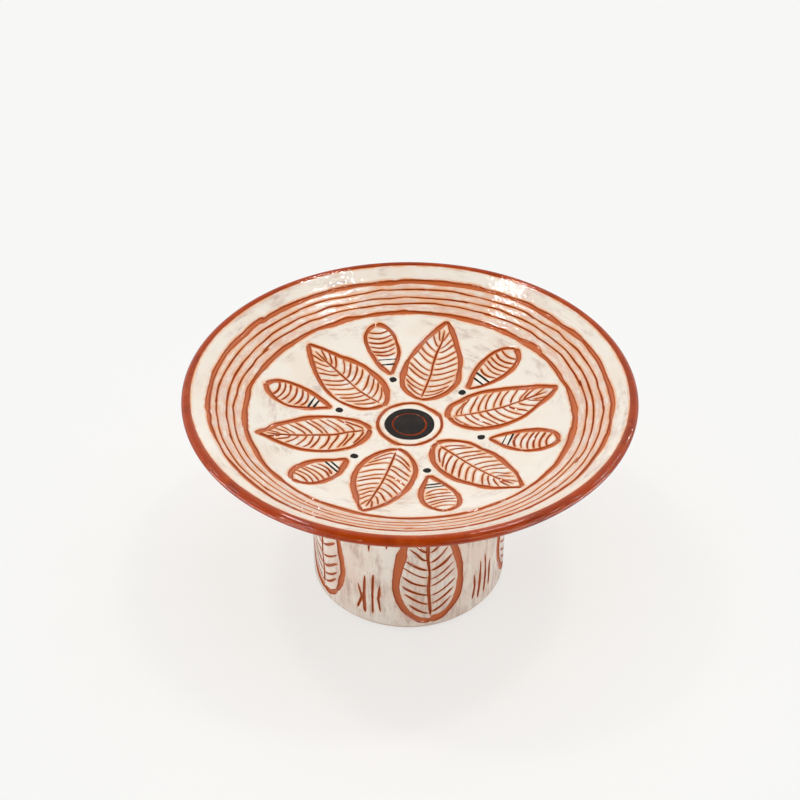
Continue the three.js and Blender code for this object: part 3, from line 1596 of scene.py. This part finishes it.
@dataclass(frozen=True)
class GlazedTerracotta(Finish):
    """Thrown red clay under clear glaze, which deepens it and shows fine dark grit.

    Attributes:
        body: Colour of the clay, as sRGB hex.
        mottle: Clouds and grit in it. The grit is drawn 0.5 mm wide, which is coarse enough to show.
        pooled_and_shaded: Darker colour beside the walls of a cut, partly where the glaze lies deep and
            partly painted shade.
        pool_and_shade: Where that is, in millimetres from a cut's wall.
        scraped: Colour of the freshly scraped bed of a wide cut, under thinner glaze.
        bed: Where that is, in millimetres from a cut's wall.
        scraped_share: How much of that colour shows.
        pooled_and_shaded_share: How much of that darker colour, pooled glaze and painted shade, shows.
        grog: Relief of the clay's grit.
        glaze: The glaze, whose skin the grit roughens.
    """

    body: str = "A43A09"
    mottle: tuple[Blotches, ...] = (
        Blotches("842B06", 9.0, 0.42, 0.7, 0.75, 4.0),
        Blotches("BC5218", 5.0, 0.52, 0.75, 0.55),
        Blotches("5A1E08", 0.5, 0.66, 0.75, 0.6, 2.0),
    )
    # Darker colour beside a cut's walls: partly glaze lying deep there, partly painted shade
    pooled_and_shaded: str = "803214"
    pool_and_shade: Span = Span(0.0, 0.1, 0.2, 0.8)
    scraped: str = "D0713D"
    bed: Span = Span(0.15, 0.7, 50.0, 51.0)
    scraped_share: float = 0.75
    pooled_and_shaded_share: float = 0.18
    grog: Tooth = Tooth(0.8, 0.1)
    glaze: ClearGlaze = ClearGlaze(Tooth(0.9, 0.08, 0.0), 0.9)

    title = "glazed terracotta"

    def dress(self, tree: Tree, shader: Node) -> Socket:
        """Mottled clay with the tooth of fine grog, darker beside the walls of a cut.

        Args:
            tree: The material's nodes.
            shader: Its Principled shader.

        Returns:
            The colour, as a socket.
        """
        here = surroundings(tree)
        feed(shader, {"Normal": self.grog.relief(tree, here.place)})
        self.glaze.lay(tree, shader, here.place)
        tone = clouded(tree, self.body, self.mottle, here.place)
        depth = add(tree, "Attribute", {"attribute_name": "cut_depth"}).outputs["Fac"]
        tone = tinted(tree, tone, self.scraped, self.bed.share(tree, depth), self.scraped_share)
        # Darkens the clay beside a cut's walls: partly pooled glaze, partly painted shade
        return tinted(tree, tone, self.pooled_and_shaded, self.pool_and_shade.share(tree, depth), self.pooled_and_shaded_share)


@dataclass(frozen=True)
class BareTerracotta(Finish):
    """Thrown red clay with no glaze: paler, chalky, with a sandy tooth.

    Attributes:
        body: Colour of the clay, as sRGB hex.
        mottle: Clouds in it, and the pale dust of its sand.
        smear: Thin slip wiped round the outside of the foot.
        outside: Distance from the axis of the smear, in millimetres.
        low: Height of the smear, in millimetres.
        sand: Relief of the clay's sand.
        roughness: Roughness of the clay.
        index: Its refractive index.
    """

    body: str = "B8693F"
    mottle: tuple[Blotches, ...] = (
        Blotches("9E5430", 12.0, 0.4, 0.7, 0.8, 4.0),
        Blotches("CB8760", 0.7, 0.6, 0.75, 0.6, 2.0),
    )
    smear: Blotches = Blotches("D8C4B4", 5.0, 0.24, 0.42, 0.92)
    outside: Span = Span(55.0, 56.0, 90.0, 91.0)
    low: Span = Span(-2.0, -1.0, 3.5, 4.5)
    sand: Tooth = Tooth(0.7, 0.2)
    roughness: float = 0.88
    index: float = 1.45

    title = "bare terracotta"

    def dress(self, tree: Tree, shader: Node) -> Socket:
        """Matt clay with the tooth of fine sand.

        Args:
            tree: The material's nodes.
            shader: Its Principled shader.

        Returns:
            The colour, as a socket.
        """
        here = surroundings(tree)
        normal = self.sand.relief(tree, here.place)
        feed(shader, {"Roughness": self.roughness, "IOR": self.index, "Normal": normal})
        tone = clouded(tree, self.body, self.mottle, here.place)
        return self.smear.over(
            tree, tone, here.place, self.outside.share(tree, here.out), self.low.share(tree, here.up)
        )


@dataclass(frozen=True)
class GlazedSlip(Finish):
    """White slip brushed over red clay, under clear glaze.

    The clay shows through at every edge as an orange fringe, and where the brush left the slip thin.

    Attributes:
        brushing: Which way the brush went.
        slip: Colour of the slip where it is thick, as sRGB hex.
        thin: Broad places where it is thinner.
        streaks: Fine streaks along the brush's way, within the patches of smudged.
        smudged: Patches in which the streaks show, as a plain noise.
        dust: Clay dust from the carving, wiped along the rings.
        dusty: The rings that hold it, in millimetres from the axis.
        halo: Stain beside every edge.
        halo_reach: Where that is, in millimetres from the edge.
        fringe: Colour at the edge itself.
        fringe_reach: Where that is, in millimetres from the edge.
        edged: Heights above the foot at which edges show the clay, in millimetres.
        edging: How much of the halo shows.
        fringe_share: How much of the fringe shows.
        ridges: Relief that the brush leaves.
        drawn_out: Scale of the height under upright brushing.
        wound: Radius of the circle that stands for the ring under brushing round the wheel, in metres.
        glaze: The glaze.
    """

    brushing: Brushing = Brushing.ROUND
    slip: str = "EEE6DA"
    thin: Blotches = Blotches("EADBCB", 14.0, 0.42, 0.72, 0.8)
    streaks: Blotches = Blotches("BC9D90", 2.0, 0.42, 0.72, 0.7, 4.0, 0.75)
    smudged: Blotches = Blotches("FFFFFF", 12.0, 0.42, 0.62)
    dust: Blotches = Blotches("D8A28A", 0.9, 0.28, 0.64, 0.7, 4.0, 0.75)
    dusty: Span = Span(93.0, 98.0, 114.5, 118.0)
    halo: Blotches = Blotches("E9AC7C", 4.0, 0.28, 0.6, 0.9, 2.0)
    halo_reach: Span = Span(-2.0, -1.0, 0.2, 1.9)
    fringe: str = "C86C34"
    fringe_reach: Span = Span(-2.0, -1.0, 0.05, 0.6)
    edged: Span = Span(3.5, 5.0, 400.0, 401.0)
    edging: float = 1.0
    fringe_share: float = 0.95
    ridges: Tooth = Tooth(1.1, 0.09)
    drawn_out: float = 0.16
    wound: float = 0.022
    glaze: ClearGlaze = ClearGlaze()

    @property
    def title(self) -> str:
        """The material's name, with the way it was brushed."""
        return f"glazed white slip, brushed {self.brushing.value}"

    def brushed(self, tree: Tree, here: Surroundings) -> Socket:
        """Coordinates squeezed along the brush's way, so that noise on them is drawn out along it.

        Up and down, it is the height that is squeezed. Round the wheel, they are a small circle at the
        point's own angle, lifted by its distance from the axis.

        Args:
            tree: The material's nodes.
            here: Where the point lies.

        Returns:
            The coordinates, in metres.
        """
        if self.brushing is Brushing.UPRIGHT:
            stretched = {"Vector": here.place, "Scale": (1, 1, self.drawn_out)}
            return add(tree, "Mapping", inputs=stretched).outputs[0]
        flat = add(tree, "VectorMath", MULTIPLY, {0: here.place, 1: (1, 1, 0)})
        heading = add(tree, "VectorMath", {"operation": "NORMALIZE"}, {0: flat.outputs[0]})
        ring = {0: heading.outputs[0], "Scale": self.wound}
        circle = add(tree, "VectorMath", {"operation": "SCALE"}, ring)
        out = add(tree, "Math", MULTIPLY, {0: here.out, 1: MM})
        lift = add(tree, "CombineXYZ", inputs={"Z": out.outputs[0]})
        both = {0: circle.outputs[0], 1: lift.outputs[0]}
        return add(tree, "VectorMath", {"operation": "ADD"}, both).outputs[0]

    def dress(self, tree: Tree, shader: Node) -> Socket:
        """Slip with ridges from the brush, thin places and smudges, dust between the rings, and its edges.

        Args:
            tree: The material's nodes.
            shader: Its Principled shader.

        Returns:
            The colour, as a socket.
        """
        here = surroundings(tree)
        along = self.brushed(tree, here)
        feed(shader, {"Normal": self.ridges.relief(tree, along)})
        self.glaze.lay(tree, shader, here.place)
        tone = self.thin.over(tree, linear(self.slip), here.place)
        patches = self.smudged.over(tree, (0.0, 0.0, 0.0, 1.0), here.place)
        tone = self.streaks.over(tree, tone, along, patches)
        if self.brushing is Brushing.ROUND:
            clear = self.thin.over(tree, (1.0, 1.0, 1.0, 1.0), here.place)
            tone = self.dust.over(tree, tone, along, self.dusty.share(tree, here.out), clear)
        gap = add(tree, "Attribute", {"attribute_name": "edge_gap"}).outputs["Fac"]
        shown = self.edged.share(tree, here.up)
        tone = self.halo.over(tree, tone, here.place, self.halo_reach.share(tree, gap), shown, self.edging)
        return tinted(tree, tone, self.fringe, self.fringe_reach.share(tree, gap), shown, self.fringe_share)


@dataclass(frozen=True)
class BlackPigment(Finish):
    """Black underglaze pigment brushed on the slip, under clear glaze: dense, a little brown where thin.

    Attributes:
        body: Colour of the pigment, as sRGB hex.
        thin: Browner clouds in it.
        glaze: The glaze.
    """

    body: str = "191311"
    thin: Blotches = Blotches("33251F", 5.0, 0.45, 0.75, 0.7)
    glaze: ClearGlaze = ClearGlaze(weight=0.6)

    title = "glazed black pigment"

    def dress(self, tree: Tree, shader: Node) -> Socket:
        """Smooth pigment under the glaze.

        Args:
            tree: The material's nodes.
            shader: Its Principled shader.

        Returns:
            The colour, as a socket.
        """
        here = surroundings(tree)
        self.glaze.lay(tree, shader, here.place)
        return self.thin.over(tree, linear(self.body), here.place)


@dataclass
class Dish:
    """The thrown dish: its clay, from the carved face over the lip to the seat, and the slip inside it.

    Attributes:
        form: Its shape.
        design: Its ornament.
        line_height: Height of the rings that turning leaves under it, in millimetres.
        line_pitch: Distance between two of them.
    """

    form: DishForm
    design: DishDesign = field(default_factory=DishDesign)
    line_height: float = 0.1
    line_pitch: float = 7.0

    def build(self, clay: Finish, slip: Finish, black: Finish) -> None:
        """Makes the dish and its coat of slip.

        Args:
            clay: Finish of the clay.
            slip: Finish of the slip.
            black: Finish of the black pigment.
        """
        sheet = CarvedSheet(self.form, self.design.strokes(), self.design.patches())
        self.body(sheet, clay)
        points, triangles, is_black, gap = sheet.slip_coat()
        materials = [slip.material(), black.material()]
        coat = new_piece("dish_slip_coat", points, triangles, materials, is_black, {"edge_gap": gap})
        fit(coat, "dish_slip")

    def body(self, sheet: CarvedSheet, clay: Finish) -> None:
        """The clay: the sheet's face, then rings of points over the lip, the underside and the seat.

        Args:
            sheet: The carved face.
            clay: Finish of the clay.
        """
        face = sheet.clay_face()
        inwards = np.linspace(self.form.seat_radius, 0, 22)[1:-1]
        seat = np.column_stack([inwards, self.form.seat_height + self.throwing_lines(inwards)])
        profile = np.concatenate([self.form.outer_profile(), seat])
        rest = self.form.thrown(*swept(profile, facet_angles()))
        pole = np.array([[0.0, 0.0, self.form.seat_height]])
        points = np.concatenate([face, rest, pole])
        rings = [sheet.border_index, *ring_numbers(len(face), len(profile))]
        cap = np.column_stack([rings[-1], np.full(TURNS, len(points) - 1), np.roll(rings[-1], -1)])
        triangles = np.concatenate([sheet.triangles, bands(rings), cap])
        materials = [clay.material()]
        piece = new_piece("dish_body", points, triangles, materials, None, sheet.depths(len(points)))
        fit(piece, "dish")

    def throwing_lines(self, radius: Array) -> Array:
        """Faint rings that the turning tool leaves under the dish, within 50 mm of its axis."""
        waves = self.line_height * np.sin(2 * math.pi * radius / self.line_pitch)
        return waves * np.clip((50 - radius) / 5, 0, 1)


@dataclass
class Foot:
    """The thrown drum: its clay, the slip round it, and the coil that joins it to the dish inside.

    Attributes are in millimetres. Those up to the coat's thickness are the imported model's, and the rest
    are what the throwing and the pressing leave.
    """

    form: DrumForm
    wall: float = 7.0
    inner_bevel: float = 1.0
    coil_leg: float = 7.0
    coil_edge: float = 0.6
    coat: float = 0.5
    ridge_height: float = 0.18
    ridge_pitch: float = 5.5
    press_pitch: float = 14.0
    press_depth: float = 0.22
    coil_lap: Pair = (0.6, 0.02)

    @property
    def bore(self) -> float:
        """Radius of the drum's hollow."""
        return self.form.radius - self.wall

    def build(self, glazed: Finish, bare: Finish, slip: Finish) -> None:
        """Makes the drum, its coat of slip and the coil.

        Args:
            glazed: Finish of the clay outside.
            bare: Finish of the clay inside and below.
            slip: Finish of the slip.
        """
        design = DrumDesign(self.form.radius, self.form.height)
        sheet = CarvedSheet(self.form, design.strokes())
        sheet.join(*self.seam(sheet))
        self.body(sheet, glazed, bare)
        points, triangles, _, gap = sheet.slip_coat()
        coat = new_piece("foot_slip_coat", points, triangles, [slip.material()], None, {"edge_gap": gap})
        fit(coat, "foot_slip")
        self.coil(bare)

    def seam(self, sheet: CarvedSheet) -> tuple[Array, Array]:
        """Points on the sheet's left and right sides, matched by height.

        Args:
            sheet: The drum's outside, laid out flat.

        Returns:
            Numbers of the points on the left side, and on the right.
        """
        half = self.form.girth / 2
        sides = [np.flatnonzero(np.abs(sheet.plan[:, 0] - side) < 1e-3) for side in (-half, half)]
        left, right = (side[np.argsort(sheet.plan[side, 1])] for side in sides)
        return left, right

    def body(self, sheet: CarvedSheet, glazed: Finish, bare: Finish) -> None:
        """The clay: the carved strip, then rings of points round the foot, up the bore and over the top.

        Args:
            sheet: The drum's outside.
            glazed: Finish of the clay outside.
            bare: Finish of the clay inside and below.
        """
        strip = sheet.clay_face()
        lower = sheet.border_index[:TURNS]
        upper = self.upper_ring(sheet)
        profile = self.inner_profile()
        around = self.form.middle + self.form.columns()[:-1] / self.form.radius
        radius, height, angle = swept(profile, around)
        rest = turned(radius - self.form.squeeze(angle, height), angle, height)
        points = np.concatenate([strip, rest])
        inner = bands([lower, *ring_numbers(len(strip), len(profile)), upper])
        triangles = np.concatenate([sheet.triangles, inner])
        choice = np.concatenate([~sheet.within[Area.COAT.value], np.ones(len(inner), bool)])
        materials = [glazed.material(), bare.material()]
        piece = new_piece("foot_body", points, triangles, materials, choice, sheet.depths(len(points)))
        fit(piece, "foot_drum")

    def upper_ring(self, sheet: CarvedSheet) -> Array:
        """Points of the strip's upper border, from the seam round.

        Args:
            sheet: The drum's outside.

        Returns:
            Numbers of the points.
        """
        start = (TURNS + 1) + len(self.form.sides())
        upper = sheet.border_index[start:start + TURNS + 1][::-1]
        return upper[:-1]

    def inner_profile(self) -> Array:
        """Radius and height from the foot's bevel, along the base, up the bore, and out over the top.

        Returns:
            Radius and height of each point.
        """
        clay = self.form.radius - self.coat
        up = np.linspace(self.inner_bevel, self.form.height, 60)
        # The ridges fade near the foot and near the coil
        ends = np.clip((up - 4) / 6, 0, 1) * np.clip((95 - up) / 5, 0, 1)
        ridges = self.ridge_height * np.sin(2 * math.pi * up / self.ridge_pitch) * ends
        bore = np.column_stack([self.bore + ridges, up])
        base = [[clay - 0.45, 0.45], [clay - self.form.bevel, 0.0], [self.bore + self.inner_bevel, 0.0]]
        top = [[self.bore + 2.5, self.form.height]]
        return np.concatenate([base, bore, top])

    def coil(self, bare: Finish) -> None:
        """The coil: a hollow curve in the corner, pressed in by a fingertip at even distances.

        Its section is an arc from the bore to the seat. Its leg shrinks and grows round the ring with the
        square of a sine, so that each press is a shallow dent.

        Args:
            bare: Finish of the clay.
        """
        angle = facet_angles()
        turns = np.linspace(0, math.pi / 2, 12)[:, None]
        presses = round(2 * math.pi * self.bore / self.press_pitch)
        dent = np.sin(angle * presses / 2 + 0.6 * ripple(angle, 61, 2, 6)) ** 2
        leg = (self.coil_leg - self.coil_edge) * (1 - self.press_depth + self.press_depth * dent)
        height = np.full(TURNS, self.form.height)
        outwards, upwards = self.coil_lap
        corner = np.full(TURNS, self.bore + outwards)
        radii = [*(self.bore - leg + leg * np.cos(turns)), self.bore - leg, corner, corner]
        heights = [*(height - leg + leg * np.sin(turns)), height + upwards, height + upwards, height - leg]
        waver = self.form.squeeze(angle, height)
        points = np.concatenate([turned(r - waver, angle, z) for r, z in zip(radii, heights)])
        rings = ring_numbers(0, len(radii))
        triangles = bands([*rings, rings[0]])
        piece = new_piece("luting_coil_pressed", points, triangles, [bare.material()])
        fit(piece, "luting_coil")


class Lights(Enum):
    """What a lamp lights."""

    ALL = "every surface"
    DULL = "dull surfaces only, so that it leaves no glint"
    GLAZE = "the glaze only, in which it shows as a glint"


@dataclass(frozen=True)
class LampRow:
    """A row of panels of light that face the bowl. Lengths are in metres.

    Attributes:
        name: The row's name.
        way: Direction from the bowl to the row's middle.
        distance: Distance from the bowl to the row's middle.
        size: Width of a panel along the row, and its height.
        power: Power of each panel, in watts.
        lights: What the panels light.
        count: Number of panels.
        pitch: Distance between two panels.
        along: Direction of the row.
    """

    name: str
    way: Triple
    distance: float
    size: Pair
    power: float
    lights: Lights
    count: int = 1
    pitch: float = 0.0
    along: Triple = (0, 1, 0)

    def build(self, target: Vector) -> None:
        """Makes the panels, each facing the target.

        Args:
            target: The point that they face.
        """
        middle = target + Vector(self.way).normalized() * self.distance
        step = Vector(self.along).normalized() * self.pitch
        for number in range(self.count):
            data = bpy.data.lights.new(f"{self.name} {number + 1}", "AREA")
            data.shape = "RECTANGLE"
            data.size, data.size_y = self.size
            data.energy = self.power
            lamp = placed(data.name, data)
            lamp.location = middle + step * (number - (self.count - 1) / 2)
            lamp.rotation_euler = (lamp.location - target).to_track_quat("Z", "Y").to_euler()
            lamp.visible_camera = False
            lamp.visible_diffuse = self.lights is not Lights.GLAZE
            lamp.visible_glossy = self.lights is not Lights.DULL


@dataclass
class Studio:
    """A white sweep under soft overhead light, seen from the photograph's angle. Lengths are in metres.

    Attributes:
        lens: Focal length, in millimetres.
        elevation: Angle at which the camera looks down, in degrees.
        camera: Place of the camera.
        target: Point that the lamps face.
        floor_half: Half of the floor's width.
        floor_colour: Colour of the paper, as sRGB hex.
        glow_share: Share of its own glow in what the eye sees of it under the bowl.
        sweep_colour: Colour of that glow.
        sweep_radii: Distances from the middle between which the share grows to 1.
        sweep_mirrored: Strength of the glow in mirrored rays, in front of the bowl and under it.
        room_colour: Colour of the room, as sRGB hex.
        white: Strength of the room's light to the eye, and down by the sweep.
        overhead: Strength overhead.
        lit: Strength behind the camera and opposite it, in the light that falls on dull surfaces.
        mirrored: The same in what the glaze mirrors.
        rows: The lamps.
    """

    lens: float = 72.0
    elevation: float = 38.131
    camera: Triple = (-0.00552, -0.72233, 0.69380)
    target: Triple = (0.0, 0.0, 0.11)
    floor_half: float = 3.0
    floor_colour: str = "F8F5EE"
    glow_share: float = 0.66
    sweep_colour: str = "F7F7F6"
    sweep_radii: Pair = (0.10, 0.34)
    sweep_mirrored: Pair = (0.15, 0.55)
    room_colour: str = "FCFCFB"
    white: float = 0.95
    overhead: float = 0.58
    lit: Pair = (0.80, 1.35)
    mirrored: Pair = (0.05, 1.15)
    rows: tuple[LampRow, ...] = (
        LampRow("right overhead", (0.275, 0.05, 0.93), 2.6, (0.3, 0.3), 10.2, Lights.DULL),
        LampRow("left overhead", (-0.365, 0.11, 0.90), 2.6, (0.3, 0.3), 10.2, Lights.DULL),
        LampRow(
            "right grains", (0.28, 0.16, 0.93), 2.6, (0.08, 0.08), 2.9, Lights.GLAZE, 4, 0.16, (0.5, 0.87, 0),
        ),
        LampRow(
            "left grains", (-0.35, 0.175, 0.9), 2.6, (0.08, 0.08), 2.9, Lights.GLAZE, 4, 0.16, (0.2, 0.98, 0),
        ),
        LampRow("right side", (0.93, 0.10, 0.45), 2.4, (0.11, 0.11), 3.4, Lights.ALL, 5, 0.55),
        LampRow(
            "left side", (-0.88, -0.28, 0.42), 2.4, (0.11, 0.11), 3.6, Lights.ALL, 5, 0.55, (-0.3, 0.95, 0),
        ),
        LampRow("right strip", (0.33, -0.17, -0.10), 0.384, (0.36, 0.006), 0.5, Lights.GLAZE),
        LampRow("left strip", (-0.335, -0.16, -0.10), 0.384, (0.36, 0.006), 0.5, Lights.GLAZE),
        LampRow("front right", (0.6, -0.8, 0.12), 2.6, (2.0, 0.02), 11.0, Lights.GLAZE),
        LampRow("front left", (-0.6, -0.8, 0.12), 2.6, (2.0, 0.02), 11.0, Lights.GLAZE),
    )

    def build(self) -> None:
        """Makes the camera, the floor, the world and the lamps."""
        bpy.context.scene.view_settings.view_transform = "Standard"
        self.add_camera()
        self.add_floor()
        self.add_world()
        for row in self.rows:
            row.build(Vector(self.target))

    def add_camera(self) -> None:
        """The camera looks along +Y and down."""
        data = bpy.data.cameras.new("camera")
        data.lens = self.lens
        data.sensor_width = 36.0
        data.clip_end = 50.0
        camera = placed("camera", data)
        camera.location = self.camera
        camera.rotation_euler = (math.radians(90 - self.elevation), 0, 0)
        bpy.context.scene.camera = camera

    def add_floor(self) -> None:
        """A wide floor of white paper."""
        half = self.floor_half
        mesh = bpy.data.meshes.new("floor")
        corners = [(-half, -half, 0), (half, -half, 0), (half, half, 0), (-half, half, 0)]
        mesh.from_pydata(corners, [], [(0, 1, 2, 3)])
        mesh.materials.append(self.paper())
        floor = placed("floor", mesh)

    def paper(self) -> Material:
        """Matt white paper: it keeps the bowl's shadow, meets the room's white and is clear from below.

        Returns:
            The material.
        """
        made = bpy.data.materials.new("white paper sweep")
        made.use_nodes = True
        tree = made.node_tree
        shader = tree.nodes["Principled BSDF"]
        feed(shader, {"Base Color": linear(self.floor_colour), "Roughness": 0.9, "Specular IOR Level": 0.0})
        path = add(tree, "LightPath").outputs
        place = add(tree, "TexCoord").outputs["Object"]
        strength = self.glow_strength(tree, place, path["Is Glossy Ray"])
        white = {"Color": linear(self.sweep_colour), "Strength": strength}
        glow = add(tree, "Emission", inputs=white)
        seen = path["Is Camera Ray"]
        for kind in ("Is Glossy Ray", "Is Transmission Ray"):
            seen = add(tree, "Math", {"operation": "ADD"}, {0: seen, 1: path[kind]}).outputs[0]
        away = add(tree, "VectorMath", {"operation": "LENGTH"}, {0: place}).outputs["Value"]
        near, far = self.sweep_radii
        level = add(tree, "MapRange", SMOOTH, {
            "Value": away, "From Min": near, "From Max": far, "To Min": self.glow_share, "To Max": 1.0,
        })
        share = add(tree, "Math", MULTIPLY, {0: seen, 1: level.outputs["Result"]}).outputs[0]
        mixed = add(tree, "MixShader", inputs={0: share, 1: shader.outputs[0], 2: glow.outputs[0]})
        under = add(tree, "NewGeometry").outputs["Backfacing"]
        clear = add(tree, "BsdfTransparent")
        shown = add(tree, "MixShader", inputs={0: under, 1: mixed.outputs[0], 2: clear.outputs[0]})
        feed(tree.nodes["Material Output"], {"Surface": shown.outputs[0]})
        return made

    def glow_strength(self, tree: Tree, place: Socket, glossy: Socket) -> Socket:
        """Strength of the paper's glow, which is dimmer in front of the bowl where glaze mirrors it.

        Args:
            tree: The paper's nodes.
            place: Object coordinates.
            glossy: 1 for a ray that a gloss mirrors.

        Returns:
            The strength, as a socket.
        """
        across = add(tree, "SeparateXYZ", inputs={0: place}).outputs["Y"]
        low, high = self.sweep_mirrored
        dim = add(tree, "MapRange", SMOOTH, {
            "Value": across, "From Min": -0.36, "From Max": -0.16, "To Min": low, "To Max": high,
        })
        ends = {"Factor": glossy, "A": 1.0, "B": dim.outputs["Result"]}
        return add(tree, "Mix", {"data_type": "FLOAT"}, ends).outputs["Result"]

    def add_world(self) -> None:
        """A room that is white down by the sweep, darker overhead, and dim behind the camera."""
        world = bpy.data.worlds.new("studio")
        bpy.context.scene.world = world
        world.use_nodes = True
        tree = world.node_tree
        facing = add(tree, "TexCoord").outputs["Generated"]
        way = add(tree, "SeparateXYZ", inputs={0: facing})
        path = add(tree, "LightPath").outputs
        level = add(tree, "MapRange", SMOOTH, {
            "Value": way.outputs["Z"], "From Min": 0.06, "From Max": 0.35,
            "To Min": self.white, "To Max": self.overhead,
        })
        ends = {"Value": way.outputs["Y"], "From Min": -0.5, "From Max": 0.6}
        low, high = self.lit
        lit = add(tree, "MapRange", SMOOTH, {**ends, "To Min": low, "To Max": high})
        low, high = self.mirrored
        mirrored = add(tree, "MapRange", SMOOTH, {**ends, "To Min": low, "To Max": high})
        share = add(tree, "Mix", {"data_type": "FLOAT"}, {
            "Factor": path["Is Glossy Ray"], "A": lit.outputs["Result"], "B": mirrored.outputs["Result"],
        })
        shaded = {0: level.outputs["Result"], 1: share.outputs["Result"]}
        room = add(tree, "Math", MULTIPLY, shaded).outputs[0]
        seen = {"Factor": path["Is Camera Ray"], "A": room, "B": self.white}
        strength = add(tree, "Mix", {"data_type": "FLOAT"}, seen)
        sky = {"Color": linear(self.room_colour), "Strength": strength.outputs["Result"]}
        feed(tree.nodes["Background"], sky)


def main() -> None:
    """Sets the stage, then makes the dish and the foot."""
    logging.basicConfig(level=logging.INFO, format="%(name)s: %(message)s")
    Studio().build()
    glazed = GlazedTerracotta()
    bare = BareTerracotta()
    seat = node_bottom("dish")
    dish = Dish(DishForm(node_radius("dish"), node_top("dish"), seat))
    dish.build(glazed, GlazedSlip(Brushing.ROUND), BlackPigment())
    foot = Foot(DrumForm(node_radius("foot_slip"), seat, node_bottom("foot_slip")))
    upright = GlazedSlip(
        Brushing.UPRIGHT,
        # The drum's slip is the slip's own cream made lighter than the dish's: the extra lightness is painted
        # light on the drum
        slip="F3EDE3",
        thin=Blotches("E9D6C8", 12.0, 0.38, 0.66, 0.85),
        streaks=Blotches("BDA193", 1.6, 0.40, 0.70, 0.8, 4.0, 0.75),
        smudged=Blotches("FFFFFF", 10.0, 0.34, 0.56),
        fringe_reach=Span(-2.0, -1.0, 0.0, 0.35),
        edging=0.35,
    )
    foot.build(glazed, bare, upright)


if __name__ == "__main__":
    main()
